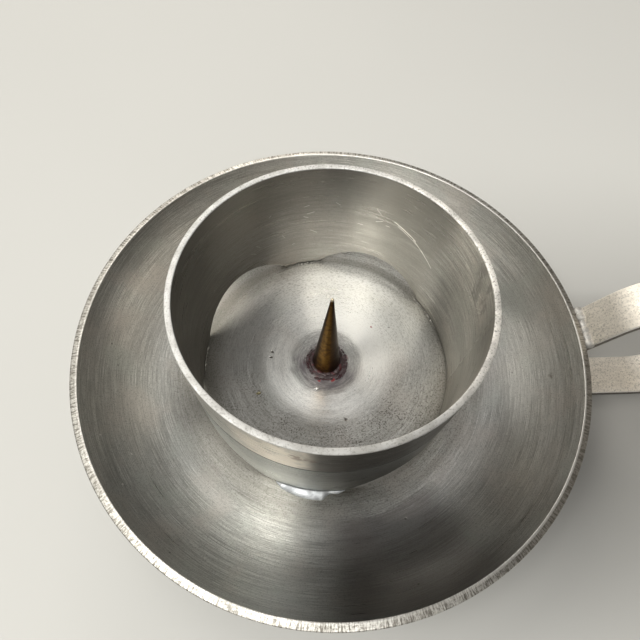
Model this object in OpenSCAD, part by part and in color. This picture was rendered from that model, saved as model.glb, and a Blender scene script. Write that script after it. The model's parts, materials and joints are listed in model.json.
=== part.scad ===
// Pillar candle holder in turned pewter.
// A round dish carries a cup ring on four cut feet, a brass pricket spike on the floor
// inside the ring, and a strip handle bent into a finger loop. Every joint is soldered.
// Millimetres. The origin is the centre of the dish's flat underside, +Z is up and
// +X points from the dish out along the handle.

/* [Dish] */
// Inner diameter of the dish at its rim
dish_in_d = 136; // [128:1:140]
// Height of the rim's inner edge above the table
rim_z = 22; // [19:0.5:24]
// Thickness of the dish metal
dish_t = 2; // [1.6:0.1:2.4]
// Diameter of the flat middle of the dish
flat_d = 88; // [86:1:92]

/* [Cup ring] */
// Outer diameter of the cup ring
cup_d = 77.6; // [74:0.2:79]
// Wall thickness of the cup ring
cup_t = 1.5; // [1.2:0.1:2]
// Height of the cup ring from the dish floor to its top edge
cup_h = 43.5; // [36:0.5:50]
// How far the cup ring and spike sit off the dish's centre, away from the handle
cup_shift = 1.1; // [0:0.1:1.4]
// Distance of the turned line below the cup's top edge
groove_drop = 16.8; // [8:0.2:24]
// Radius of the round cuts that leave the feet
arch_r = 24; // [22:0.5:28]
// Height of the round cuts above the floor
arch_rise = 8.4; // [6:0.2:9]

/* [Spike] */
// Diameter of the spike at the floor
spike_d = 8.6; // [7:0.2:10]
// Height of the spike's point above the floor
spike_h = 37.4; // [28:0.2:40]

/* [Handle] */
// Width of the handle strip
strip_w = 12; // [10:0.5:14]
// Thickness of the handle strip
strip_t = 2; // [1.6:0.1:2.4]
// Outer radius of the finger loop
loop_r = 19.4; // [18.6:0.2:20.4]
// Distance of the loop's centre from the dish's centre
loop_x = 92.3; // [91:0.1:94]
// How far the lower strand lies to the side of the upper one
loop_offset = 7; // [0:0.5:8]

/* [Hidden] */
$fn = 240;

pewter = "#a3a29c";
solder = "#c9c7c0";
brass = "#6e5426";
far = 120;

// Dish: the wall is an arc that leaves the flat floor level and ends at the rim.
flat_r = flat_d / 2;
wall_run = dish_in_d / 2 - flat_r;
wall_rise = rim_z - dish_t;
wall_r = (wall_run * wall_run + wall_rise * wall_rise) / (2 * wall_rise);
wall_turn = 2 * atan2(wall_rise, wall_run);
wall_centre_z = dish_t + wall_r;
rim_out_r = flat_r + (wall_r + dish_t) * sin(wall_turn);
rim_out_z = wall_centre_z - (wall_r + dish_t) * cos(wall_turn);

// Cup ring
cup_r = cup_d / 2;
cup_top_z = dish_t + cup_h;
arch_angles = [62.7, 138.2, 213.7, 302.7];
groove_w = 0.45;
groove_depth = 0.3;
seam_angle = -13.1;
seam_w = 0.5;

// Solder fillets: size, and the angle and length of each one around the cup
fillet_out = 1.5;
fillet_in = 1;
front_foot = [248, 24];
left_foot = [170, 14];
back_foot = [90, 15];
right_foot = [15, 22];

// Spike: tenon through the floor, countersunk below
spike_r = spike_d / 2;
tip_r = 0.35;
tenon_r = 2;
sink_r = 3.4;
sink_h = 0.9;
collar_r = 1.5;

// Handle: the strip lies along the dish wall, rises to the loop and returns under the dish
loop_clear = 0.1;
loop_z = loop_r + loop_clear;
root_x = 67.6;
root_z = 14.4;
root_tail = 2.4;
leg_end_x = 52;
loop_steps = 60;
root_reach = norm([loop_x - root_x, loop_z - root_z]);
root_rise = atan2(loop_z - root_z, loop_x - root_x) + asin(loop_r / root_reach);
root_run = sqrt(root_reach * root_reach - loop_r * loop_r);
loop_start = -90;
loop_end = root_rise + 90;
bead_r = 1.3;

// ---- Shapes used by several sub-parts ----

// Section of the dish from its axis out to the rim
module dish_section() {
    wall = wall_turn - 90;
    square([flat_r, dish_t]);
    translate([flat_r, wall_centre_z])
        intersection() {
            difference() {
                circle(r = wall_r + dish_t);
                circle(r = wall_r);
            }
            polygon([[0, 0], [0, -far], [far, -far], [far * cos(wall), far * sin(wall)]]);
        }
}

// Everything inside the dish's outer face, open upwards: metal beside it is cut to fit
module dish_envelope() {
    rotate_extrude()
        union() {
            square([flat_r, wall_centre_z]);
            intersection() {
                translate([flat_r, wall_centre_z])
                    circle(r = wall_r + dish_t);
                square([far, rim_out_z]);
            }
            translate([0, rim_out_z - 0.01])
                square([rim_out_r, far]);
        }
}

module on_cup_axis() {
    translate([-cup_shift, 0, 0])
        children();
}

// The whole turned ring, before its seam is opened
module cup_blank() {
    difference() {
        translate([0, 0, dish_t])
            cylinder(r = cup_r, h = cup_h);
        translate([0, 0, dish_t - 1])
            cylinder(r = cup_r - cup_t, h = cup_h + 2);
        for (a = arch_angles)
            rotate([0, 0, a])
                translate([0, 0, dish_t + arch_rise - arch_r])
                    rotate([0, 90, 0])
                        cylinder(r = arch_r, h = cup_r + 5);
        translate([0, 0, cup_top_z - groove_drop])
            rotate_extrude()
                translate([cup_r - groove_depth, -groove_w / 2])
                    square([5, groove_w]);
    }
}

module seam_slab() {
    rotate([0, 0, seam_angle])
        translate([cup_r - 5, -seam_w / 2, 0])
            cube([10, seam_w, cup_top_z + 5]);
}

// Quarter-round run of solder on the floor against a wall of radius r.
// side is 1 outside the wall and -1 inside it; run holds its first angle and its length.
module foot_fillet(r, size, side, run) {
    rotate([0, 0, run[0]])
        rotate_extrude(angle = run[1])
            intersection() {
                translate([r, dish_t])
                    circle(r = size);
                translate([side > 0 ? r : r - far, dish_t])
                    square([far, far]);
                square([far, far]);
            }
}

module spike_section() {
    polygon([[0, dish_t], [spike_r, dish_t], [tip_r, dish_t + spike_h - tip_r],
        [0, dish_t + spike_h - tip_r]]);
}

// Centre line of the strip's outer face in the loop's plane, from under the dish to the root
function loop_angle(i) = loop_start + (loop_end - loop_start) * i / loop_steps;
function drift(i) = -loop_offset * (1 + cos(180 * min(1, i * 1.12 / loop_steps))) / 2;
function leg_station(x) = [[x, loop_z - loop_r], [0, 1], -loop_offset];
function loop_station(i) = let (a = loop_angle(i))
    [[loop_x + loop_r * cos(a), loop_z + loop_r * sin(a)], [-cos(a), -sin(a)], drift(i)];
function root_station(run) =
    [[root_x + run * cos(root_rise), root_z + run * sin(root_rise)],
        [sin(root_rise), -cos(root_rise)], 0];
stations = [
    leg_station(leg_end_x),
    for (i = [0:loop_steps]) loop_station(i),
    root_station(root_run / 2), root_station(0), root_station(-root_tail)
];

// Four corners of the strip at one station: outer face, then inner face
function corner(s, depth, side) =
    let (p = s[0] + depth * s[1]) [p[0], s[2] + side * strip_w / 2, p[1]];
function ring_of(s) =
    [corner(s, 0, -1), corner(s, 0, 1), corner(s, strip_t, 1), corner(s, strip_t, -1)];

module bent_strip() {
    n = len(stations);
    points = [for (s = stations) each ring_of(s)];
    sides = [
        for (i = [0:n - 2], k = [0:3])
            let (a = 4 * i + k, b = 4 * i + (k + 1) % 4)
            each [[a, a + 4, b], [b, a + 4, b + 4]]
    ];
    first = [[0, 1, 2], [0, 2, 3]];
    last = [for (f = first) [f[2] + 4 * (n - 1), f[1] + 4 * (n - 1), f[0] + 4 * (n - 1)]];
    polyhedron(points, concat(sides, first, last));
}

// ---- Sub-parts ----

module dish() {
    color(pewter)
        difference() {
            rotate_extrude()
                dish_section();
            on_cup_axis() {
                translate([0, 0, -1])
                    cylinder(r = tenon_r, h = dish_t + 2);
                cylinder(r1 = sink_r, r2 = tenon_r, h = sink_h);
            }
        }
}

module cup_ring() {
    color(pewter)
        on_cup_axis()
            difference() {
                cup_blank();
                seam_slab();
            }
}

// Butt seam of the rolled ring
module cup_seam_solder() {
    color(solder)
        on_cup_axis()
            intersection() {
                cup_blank();
                seam_slab();
            }
}

module foot_solder_front() {
    color(solder)
        on_cup_axis()
            foot_fillet(cup_r, fillet_out, 1, front_foot);
}

module foot_solder_left() {
    color(solder)
        on_cup_axis()
            foot_fillet(cup_r - cup_t, fillet_in, -1, left_foot);
}

module foot_solder_back() {
    color(solder)
        on_cup_axis()
            foot_fillet(cup_r - cup_t, fillet_in, -1, back_foot);
}

module foot_solder_right() {
    color(solder)
        on_cup_axis()
            foot_fillet(cup_r - cup_t, fillet_in, -1, right_foot);
}

module spike() {
    color(brass)
        on_cup_axis() {
            rotate_extrude()
                spike_section();
            translate([0, 0, dish_t + spike_h - tip_r])
                intersection() {
                    sphere(r = tip_r);
                    cylinder(r = far, h = far);
                }
            cylinder(r = tenon_r, h = dish_t);
        }
}

module spike_collar_solder() {
    color(solder)
        on_cup_axis()
            rotate_extrude()
                difference() {
                    intersection() {
                        translate([spike_r, dish_t])
                            circle(r = collar_r);
                        translate([0, dish_t])
                            square([far, far]);
                    }
                    spike_section();
                    square([spike_r - collar_r / 2, far]);
                }
}

// Solder that locks the tenon in its countersink
module spike_tail_solder() {
    color(solder)
        on_cup_axis()
            difference() {
                cylinder(r1 = sink_r, r2 = tenon_r, h = sink_h);
                translate([0, 0, -1])
                    cylinder(r = tenon_r, h = dish_t + 2);
            }
}

module handle_strip() {
    color(pewter)
        difference() {
            bent_strip();
            dish_envelope();
        }
}

// Solder between the outside of the rim and the strip
module handle_rim_solder() {
    half_turn = asin(strip_w / 2 / rim_out_r) * 0.98;
    top_run = (rim_out_z - root_z) / sin(root_rise);
    top_x = root_x + top_run * cos(root_rise);
    color(solder)
        difference() {
            rotate([0, 0, -half_turn])
                rotate_extrude(angle = 2 * half_turn)
                    union() {
                        polygon([[root_x + 1, root_z + 1], [top_x + 1, rim_out_z], [rim_out_r - 1, rim_out_z]]);
                        translate([(rim_out_r + top_x) / 2, rim_out_z])
                            circle(r = bead_r);
                    }
            dish_envelope();
            bent_strip();
        }
}

// Solder in the wedge between the lower strand and the underside of the wall
module handle_base_solder() {
    start_r = leg_end_x + 1;
    strand_top = loop_clear + strip_t;
    half_turn = asin(strip_w / 2 / start_r) * 0.95;
    mid_turn = -asin(loop_offset / start_r);
    color(solder)
        difference() {
            rotate([0, 0, mid_turn - half_turn])
                rotate_extrude(angle = 2 * half_turn)
                    polygon([[start_r, strand_top], [start_r + 6.5, strand_top],
                        [start_r + 6, strand_top + 1.2], [start_r, strand_top + 1.2]]);
            dish_envelope();
        }
}

dish();
cup_ring();
cup_seam_solder();
foot_solder_front();
foot_solder_left();
foot_solder_back();
foot_solder_right();
spike();
spike_collar_solder();
spike_tail_solder();
handle_strip();
handle_rim_solder();
handle_base_solder();
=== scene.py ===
"""Pillar candle holder in pewter: detailed pieces, materials and a plain studio around the CAD frame.

Sizes are millimetres until a mesh is made; MM turns them into metres.
"""
import json
import math
import random

import bmesh
import bpy
import numpy as np
from mathutils import Matrix, Vector, noise

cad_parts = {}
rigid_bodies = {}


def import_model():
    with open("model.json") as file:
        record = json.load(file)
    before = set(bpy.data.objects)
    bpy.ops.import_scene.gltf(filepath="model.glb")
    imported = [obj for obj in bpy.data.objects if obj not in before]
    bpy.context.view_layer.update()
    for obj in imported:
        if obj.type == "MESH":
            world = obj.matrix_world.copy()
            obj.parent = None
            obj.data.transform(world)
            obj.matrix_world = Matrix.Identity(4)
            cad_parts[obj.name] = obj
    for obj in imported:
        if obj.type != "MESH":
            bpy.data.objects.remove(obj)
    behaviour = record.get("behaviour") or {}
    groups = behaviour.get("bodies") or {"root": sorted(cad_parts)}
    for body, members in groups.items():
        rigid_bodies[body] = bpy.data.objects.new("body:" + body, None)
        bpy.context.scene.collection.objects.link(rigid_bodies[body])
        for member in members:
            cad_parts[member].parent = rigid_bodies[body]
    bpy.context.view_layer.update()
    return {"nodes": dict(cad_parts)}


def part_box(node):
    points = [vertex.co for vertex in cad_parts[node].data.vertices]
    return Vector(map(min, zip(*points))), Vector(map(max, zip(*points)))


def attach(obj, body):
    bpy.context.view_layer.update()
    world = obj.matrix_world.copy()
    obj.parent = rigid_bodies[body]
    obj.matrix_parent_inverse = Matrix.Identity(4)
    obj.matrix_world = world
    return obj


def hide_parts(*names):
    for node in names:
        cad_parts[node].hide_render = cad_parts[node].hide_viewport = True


MM = 0.001
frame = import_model()

# ---- sizes, driven by the frame


def box_mm(node):
    """Lowest and highest corner of a CAD node in millimetres, as two numpy arrays."""
    low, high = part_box(node)
    return np.array(low) / MM, np.array(high) / MM


def node_points(node):
    """All vertices of a CAD node in millimetres."""
    return np.array([v.co for v in frame["nodes"][node].data.vertices]) / MM


DISH_HIGH = box_mm("dish")[1]
CUP_LOW, CUP_HIGH = box_mm("cup_ring")
SPIKE_LOW, SPIKE_HIGH = box_mm("spike")
STRIP_LOW, STRIP_HIGH = box_mm("handle_strip")

# Dish: a flat floor as thick as the wall, then an arc up to the rim
FLOOR_Z = CUP_LOW[2]
METAL = FLOOR_Z
FLAT_R = 44.0
RIM_IN_R = 68.0
RIM_OUT_R = DISH_HIGH[0]
RIM_Z = DISH_HIGH[2]
WALL_RUN = RIM_IN_R - FLAT_R
WALL_RISE = RIM_Z - FLOOR_Z
WALL_R = (WALL_RUN ** 2 + WALL_RISE ** 2) / (2 * WALL_RISE)
WALL_Z = FLOOR_Z + WALL_R
WALL_TURN = 2 * math.atan2(WALL_RISE, WALL_RUN)

# Cup ring
CUP_X = (CUP_LOW[0] + CUP_HIGH[0]) / 2
CUP_R = (CUP_HIGH[0] - CUP_LOW[0]) / 2
CUP_WALL = 1.5
CUP_TOP = CUP_HIGH[2]
INNER_R = CUP_R - CUP_WALL
ARCH_ANGLES = [62.7, 138.2, 213.7, 302.7]
ARCH_R = 24.0
ARCH_RISE = 8.4
GROOVE_Z = CUP_TOP - 16.8
GROOVE_W = 0.45
GROOVE_DEPTH = 0.3
SEAM_ANGLE = math.radians(-13.1)

# Spike and its tenon
SPIKE_R = (SPIKE_HIGH[1] - SPIKE_LOW[1]) / 2
SPIKE_TOP = SPIKE_HIGH[2]
SPIKE_TIP = 0.42
TENON_R = 1.98

# Handle: a strip that runs from under the dish round a loop to the rim
STRIP_T = 2.0
STRIP_W = 12.0
STRIP_CORNER = 0.45
LOOP_R = (STRIP_HIGH[2] - STRIP_LOW[2]) / 2
LOOP_X = STRIP_HIGH[0] - LOOP_R
LOOP_Z = STRIP_LOW[2] + LOOP_R
LOOP_OFFSET = (STRIP_HIGH[1] - STRIP_LOW[1]) - STRIP_W
ROOT_X = 67.6
ROOT_Z = 14.4
ROOT_TAIL = 2.4

# ---- mesh helpers


def make_object(name, points, faces):
    """A smooth-shaded mesh object from points in millimetres."""
    mesh = bpy.data.meshes.new(name)
    mesh.from_pydata([tuple(p) for p in np.asarray(points) * MM], [], faces)
    mesh.update()
    mesh.shade_smooth()
    piece = bpy.data.objects.new(name, mesh)
    bpy.context.scene.collection.objects.link(piece)
    return piece


def grid_faces(rows, columns, close_rows=True):
    """Quads of points stored row by row; each row closes on itself, and the last row may meet the first."""
    faces = []
    for i in range(rows if close_rows else rows - 1):
        below, above = i * columns, ((i + 1) % rows) * columns
        for j in range(columns):
            after = (j + 1) % columns
            faces.append((below + j, below + after, above + after, above + j))
    return faces


def face_outwards(piece):
    """Turns every face of a closed mesh so that it looks out."""
    work = bmesh.new()
    work.from_mesh(piece.data)
    bmesh.ops.recalc_face_normals(work, faces=work.faces)
    work.to_mesh(piece.data)
    work.free()


def capped_tube(name, points, columns):
    """A closed solid from rows of points, with a flat cap on its first and its last row."""
    rows = len(points) // columns
    faces = grid_faces(rows, columns, close_rows=False)
    faces.append(tuple(range(columns)))
    faces.append(tuple((rows - 1) * columns + j for j in range(columns))[::-1])
    piece = make_object(name, points, faces)
    face_outwards(piece)
    return piece


def second_material(piece, columns, first, last):
    """Gives the rows of faces from first up to last the piece's second material."""
    for face in piece.data.polygons:
        face.material_index = 1 if first <= face.index // columns < last else 0


def wobble(angle, seed, orders, strength):
    """A smooth closed ripple round a circle: one seeded cosine for each order."""
    dice = random.Random(seed)
    total = np.zeros_like(angle)
    for order in orders:
        total += dice.uniform(0.4, 1) * np.cos(order * angle + dice.uniform(0, math.tau))
    return strength * total / len(orders)


def rounded(corner, before, after, radius):
    """Points of a small round that replaces the corner of a profile."""
    corner, before, after = (np.array(p, float) for p in (corner, before, after))
    into = (before - corner) / np.linalg.norm(before - corner)
    out = (after - corner) / np.linalg.norm(after - corner)
    start, end = corner + into * radius, corner + out * radius
    return [(1 - w) ** 2 * start + 2 * w * (1 - w) * corner + w ** 2 * end for w in np.linspace(0, 1, 4)]


def finish_piece(piece, slot, *nodes):
    """Rides on the one body and stands for its CAD nodes; its slot is not used."""
    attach(piece, "root")
    if nodes:
        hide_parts(*nodes)
    return piece


def dress(piece, *materials):
    """Gives a piece its materials, which its faces know by number."""
    for material in materials:
        piece.data.materials.append(material)


# ---- dish


def wall_point(turn, radius):
    """A point of the dish's arc, turned up from the bottom."""
    return (FLAT_R + radius * math.sin(turn), WALL_Z - radius * math.cos(turn))


def dish_profile():
    """Closed section of the dish from near its axis over the rim and back, and the rows of the cut rim."""
    near_axis = 0.6
    floor = [(r, FLOOR_Z) for r in np.linspace(near_axis, FLAT_R, 90)]
    inside = [wall_point(t, WALL_R) for t in np.linspace(0, WALL_TURN, 80)[1:-2]]
    inner_edge = wall_point(WALL_TURN, WALL_R)
    outer_edge = wall_point(WALL_TURN, WALL_R + METAL)
    outside = [wall_point(t, WALL_R + METAL) for t in np.linspace(WALL_TURN, 0, 44)[2:]]
    under = [(r, 0.0) for r in np.linspace(FLAT_R, near_axis, 30)[1:]]
    inner_round = rounded(inner_edge, inside[-1], outer_edge, 0.25)
    outer_round = rounded(outer_edge, inner_edge, outside[0], 0.3)
    land = [tuple(inner_round[-1] * (1 - w) + outer_round[0] * w) for w in (0.25, 0.5, 0.75)]
    profile = floor + inside + inner_round + land + outer_round + outside + under
    land_start = len(floor) + len(inside) + 2
    return np.array(profile), land_start, land_start + len(land) + 4


def make_dish():
    """The dish, turned by hand: near the rim it wanders a little, always inwards and downwards."""
    columns = 420
    sway_from = 8.0
    profile, land_start, land_end = dish_profile()
    angle = np.linspace(0, math.tau, columns, endpoint=False)
    near_rim = np.clip((profile[:, 1:2] - sway_from) / (RIM_Z - sway_from), 0, 1) ** 2
    sway = 0.08 * (np.cos(2 * angle) + np.cos(3 * angle) - 2)
    dip = wobble(angle, 5, [2, 3, 7, 11], 0.1) - 0.1
    radius = profile[:, 0:1] + near_rim * sway
    height = profile[:, 1:2] + near_rim * dip
    # The cut rim keeps the marks of the file
    on_land = np.zeros((len(profile), 1))
    on_land[land_start:land_end] = 1
    height = height + on_land * (wobble(angle, 8, [61, 97, 143, 201], 0.035) - 0.035)
    points = np.stack([radius * np.cos(angle), radius * np.sin(angle), height], axis=-1)
    dish = make_object("dish_turned", points.reshape(-1, 3), grid_faces(len(profile), columns))
    second_material(dish, columns, land_start - 1, land_end)
    face_outwards(dish)
    return finish_piece(dish, "pewter", "dish")


# ---- cup ring


def off_angle(angle, middle):
    """Difference of two angles in radians, the short way round."""
    return np.angle(np.exp(1j * (angle - middle)))


def arch_height(angle, radius):
    """Height of the ring's lower edge at an angle: on the floor at the feet, round between them."""
    height = np.full_like(angle, FLOOR_Z)
    for arch in ARCH_ANGLES:
        turn = off_angle(angle, math.radians(arch))
        across = radius * np.sin(turn)
        inside = (np.abs(turn) < 1) & (np.abs(across) < ARCH_R)
        bow = FLOOR_Z + ARCH_RISE - ARCH_R + np.sqrt(np.maximum(ARCH_R ** 2 - across ** 2, 0))
        height = np.where(inside, np.maximum(height, bow), height)
    return height


def cup_angles():
    """Angles round the ring, closer together at the seam."""
    even = np.linspace(0, math.tau, 720, endpoint=False)
    clear = np.abs(off_angle(even, SEAM_ANGLE)) > 0.9 / CUP_R
    steps = np.array([0.1, 0.2, 0.35, 0.55, 0.8])
    close = np.mod(SEAM_ANGLE + np.concatenate([-steps, [0], steps]) / CUP_R, math.tau)
    return np.sort(np.concatenate([even[clear], close]))


def make_cup():
    """The ring: filed cut-outs below, a turned groove, a softened top edge and a nick at its seam."""
    angle = cup_angles()
    columns = len(angle)
    free_z = FLOOR_Z + ARCH_RISE + 1.6
    edge = 0.22
    cut = wobble(angle, 21, [37, 53, 89, 131], 0.07)
    off_floor = np.clip((arch_height(angle, CUP_R) - FLOOR_Z) / 0.6, 0, 1)
    low_out = arch_height(angle, CUP_R) + cut * off_floor
    low_in = arch_height(angle, INNER_R) + cut * off_floor
    sway = wobble(angle, 31, [2, 3, 4], 0.1) - 0.1
    dip = wobble(angle, 33, [2, 3, 9, 17, 41], 0.05) - 0.05
    top = CUP_TOP + dip
    rows = []

    def row(radius, height):
        rows.append((radius + np.zeros(columns), height + np.zeros(columns)))

    lower_steps = np.linspace(0, 1, 12)
    for w in lower_steps:
        row(CUP_R if w > 0 else CUP_R - edge * 0.6, low_out + (free_z - low_out) * w)
    for z in np.linspace(free_z, GROOVE_Z - GROOVE_W, 20)[1:]:
        row(CUP_R, z)
    for depth, offset in ((0, -0.5), (0.85, -0.3), (1, 0), (0.85, 0.3), (0, 0.5)):
        row(CUP_R - GROOVE_DEPTH * depth, GROOVE_Z + GROOVE_W * offset)
    for z in np.linspace(GROOVE_Z + GROOVE_W, CUP_TOP - 1.0, 20):
        row(CUP_R, z)
    land_start = len(rows)
    edge_round = [(0, 1.6), (0.06, 0.7), (0.3, 0.25), (1, 0)]
    for inwards, down in edge_round:
        row(CUP_R - edge * inwards, top - edge * down)
    row((CUP_R + INNER_R) / 2, top)
    for inwards, down in edge_round[::-1]:
        row(INNER_R + edge * inwards, top - edge * down)
    land_end = len(rows) - 1
    for z in np.linspace(CUP_TOP - 1.0, free_z, 40):
        row(INNER_R, z)
    for w in lower_steps[::-1][1:]:
        row(INNER_R if w > 0 else INNER_R + edge * 0.6, low_in + (free_z - low_in) * w)
    radius = np.array([r for r, _ in rows])
    height = np.array([z for _, z in rows])
    radius = radius + np.clip((height - FLOOR_Z) / (CUP_TOP - FLOOR_Z), 0, 1) * sway
    # A shallow nick along the butt seam, deepest where it crosses the top edge
    nick = np.exp(-(np.abs(off_angle(angle, SEAM_ANGLE)) * CUP_R / 0.16) ** 2)
    is_top = np.zeros((len(rows), 1))
    is_top[land_start + 1:land_end] = 1
    height = height - is_top * nick * 0.22
    side = np.where(radius > (INNER_R + CUP_R) / 2, -1, 1)
    radius = radius + side * nick * 0.03 * (1 - is_top)
    points = np.stack([CUP_X + radius * np.cos(angle), radius * np.sin(angle), height], axis=-1)
    ring = make_object("cup_ring_rolled", points.reshape(-1, 3), grid_faces(len(rows), columns))
    second_material(ring, columns, land_start, land_end)
    face_outwards(ring)
    return finish_piece(ring, "pewter", "cup_ring")


# ---- solder


def lumps(name, blobs, voxel=0.14, softening=6):
    """One piece of solder or wax melted together from round blobs (centre, three radii, turn about Z)."""
    work = bmesh.new()
    for centre, radii, turn in blobs:
        place = Matrix.Translation(Vector(centre)) @ Matrix.Rotation(turn, 4, "Z")
        size = Matrix.Diagonal((*radii, 1))
        bmesh.ops.create_icosphere(work, subdivisions=3, radius=1, matrix=place @ size)
    raw = bpy.data.meshes.new(name + "_raw")
    work.to_mesh(raw)
    work.free()
    piece = bpy.data.objects.new(name, raw)
    bpy.context.scene.collection.objects.link(piece)
    melt = piece.modifiers.new("melt", "REMESH")
    melt.mode = "VOXEL"
    melt.voxel_size = voxel
    soften = piece.modifiers.new("soften", "SMOOTH")
    soften.iterations = softening
    bpy.context.view_layer.update()
    shaped = piece.evaluated_get(bpy.context.evaluated_depsgraph_get())
    mesh = bpy.data.meshes.new_from_object(shaped)
    piece.modifiers.clear()
    piece.data = mesh
    bpy.data.meshes.remove(raw)
    mesh.transform(Matrix.Scale(MM, 4))
    mesh.shade_smooth()
    return piece


def round_axis(radius, angle, z):
    """A point at a radius and an angle round the cup's axis."""
    return (CUP_X + radius * math.cos(angle), radius * math.sin(angle), z)


def span_of(node):
    """First and last angle of a CAD node round the cup's axis."""
    points = node_points(node)
    middle = math.atan2(points[:, 1].mean(), points[:, 0].mean() - CUP_X)
    turns = off_angle(np.arctan2(points[:, 1], points[:, 0] - CUP_X), middle)
    return middle + turns.min(), middle + turns.max()


def eased(w):
    """Eased step from 0 to 1."""
    w = min(1, max(0, w))
    return w * w * (3 - 2 * w)


def fillet(foot, side, width, height, seed, rough, beaded=0.0, longer=(0, 0)):
    """Solder run outside (side 1) or inside (-1) the ring's foot: a fillet that thins out at its ends.

    Its width and height are (at the start, growth up to the middle, drop after two thirds).
    """
    node = f"foot_solder_{foot}"
    radius = CUP_R - 0.02 if side > 0 else INNER_R + 0.02
    start, end = span_of(node)
    start, end = start - math.radians(longer[0]), end + math.radians(longer[1])
    steps = max(40, int((end - start) * radius / 0.12))
    sunk = -0.3
    points = []
    for i in range(steps + 1):
        w = i / steps
        a = start + (end - start) * w
        along = a * radius
        swell = 1 + rough * noise.noise(Vector((along * 0.3, seed, 0)))
        ripple = 1 + 0.6 * rough * noise.noise(Vector((along * 0.7, seed, 5)))
        ends = min(1, math.sin(math.pi * min(max(w, 0.004), 0.996)) * 3.2) ** 0.8
        drops = 1 - beaded * (0.5 + 0.5 * math.sin(along * 5.2 + 3 * math.sin(along * 0.9 + seed)))
        course = np.array((1, eased(w / 0.5), -eased((w - 0.66) / 0.13)))
        reach = max(0.03, course.dot(width) * ends * swell * drops)
        rise = max(0.03, course.dot(height) * ends * ripple * drops)
        section = [(sunk, rise * 0.5), (0.02, rise * 0.6)]
        for t in np.linspace(0, 1, 10):
            out = (1 - t) ** 2 * 0.06 + 2 * t * (1 - t) * 0.78 * reach + t * t * reach
            up = (1 - t) ** 2 * rise * 0.92 + 2 * t * (1 - t) * 0.9 * rise
            section.append((out, up))
        section += [(reach, sunk), (sunk, sunk)]
        points += [round_axis(radius + side * out, a, FLOOR_Z + up) for out, up in section]
    return finish_piece(capped_tube(f"solder_{foot}", points, len(section)), "solder", node)


def make_foot_solder():
    """One run outside the front foot, three thinner ones inside the other feet."""
    return [
        fillet("front", 1, (1.2, 1.2, 1.7), (1.1, 0.2, 0.6), 4, 0.14, longer=(1.5, 3)),
        fillet("left", -1, (0.6, 0, 0), (0.5, 0, 0), 9, 0.5, 0.4),
        fillet("back", -1, (0.75, 0, 0), (0.6, 0, 0), 2, 0.6, 0.75),
        fillet("right", -1, (0.5, 0, 0), (0.45, 0, 0), 15, 0.6, 0.6),
    ]


def make_seam():
    """The butt seam of the ring: a thin uneven line of solder down the inside and the outside."""
    dice = random.Random(12)
    blobs = []
    for z in np.linspace(FLOOR_Z + 0.6, CUP_TOP - 0.9, 46):
        for radius in (INNER_R - 0.03, CUP_R - 0.02):
            wide = dice.uniform(0.18, 0.5)
            a = SEAM_ANGLE + dice.uniform(-0.08, 0.08) / CUP_R
            blobs.append((round_axis(radius, a, z), (0.12, wide, 0.8), a))
    return finish_piece(lumps("cup_seam", blobs, voxel=0.1, softening=3), "solder", "cup_seam_solder")


def make_spike_collar():
    """Uneven ring of solder where the spike meets the floor, under soot and wax."""
    dice = random.Random(6)
    count = 30
    blobs = []
    for i in range(count):
        a = math.tau * i / count
        size = dice.uniform(0.55, 0.9)
        place = round_axis(SPIKE_R + dice.uniform(0.1, 0.4), a, FLOOR_Z - 0.1)
        blobs.append((place, (size * 1.2, 1.1, size * dice.uniform(0.5, 0.8)), a))
    collar = lumps("spike_collar", blobs, voxel=0.12, softening=10)
    return finish_piece(collar, "solder", "spike_collar_solder")


def make_wax_film():
    """Thin spilled wax round the spike: smears that lie along the turning lines, most at the front."""
    dice = random.Random(11)
    blobs = []
    for _ in range(26):
        a = math.tau * dice.random()
        front = 0.5 - 0.5 * math.sin(a)
        if dice.random() > 0.35 + 0.65 * front:
            continue
        r = SPIKE_R + 0.7 + dice.uniform(0.0, 0.8) + 1.7 * front * dice.random()
        for step in range(dice.randint(2, 6)):
            b = a + step * 0.13
            size = dice.uniform(0.25, 0.5)
            blobs.append((round_axis(r, b, FLOOR_Z - 0.02), (size, 0.6, dice.uniform(0.08, 0.2)), b))
    return finish_piece(lumps("wax_film", blobs, voxel=0.07, softening=3), "solder")


def make_wax_drops():
    """A bright blister at the edge of the wax and one old yellow dot further out."""
    pieces = []
    for name, angle, reach, size in (("wax_blister", 250.7, 9.6, 1.0), ("wax_dot", 205.9, 23.0, 0.7)):
        x, y, z = round_axis(reach, math.radians(angle), FLOOR_Z)
        drop = ((x, y, z), (size, size * 0.7, size * 0.6), 0.5)
        tail = ((x - size * 0.7, y - size * 0.2, z - 0.05), (size * 0.6, size * 0.45, size * 0.4), 0)
        pieces.append(finish_piece(lumps(name, [drop, tail], voxel=0.07, softening=3), "solder"))
    return pieces


# ---- spike


def turned_solid(name, profile, columns):
    """A closed solid round the cup's axis from (radius, height) rows; a radius may vary round the row."""
    angle = np.linspace(0, math.tau, columns, endpoint=False)
    points = []
    for radius, z in profile:
        points += [round_axis(r, a, z) for r, a in zip(radius + np.zeros(columns), angle)]
    return capped_tube(name, points, columns)


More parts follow.
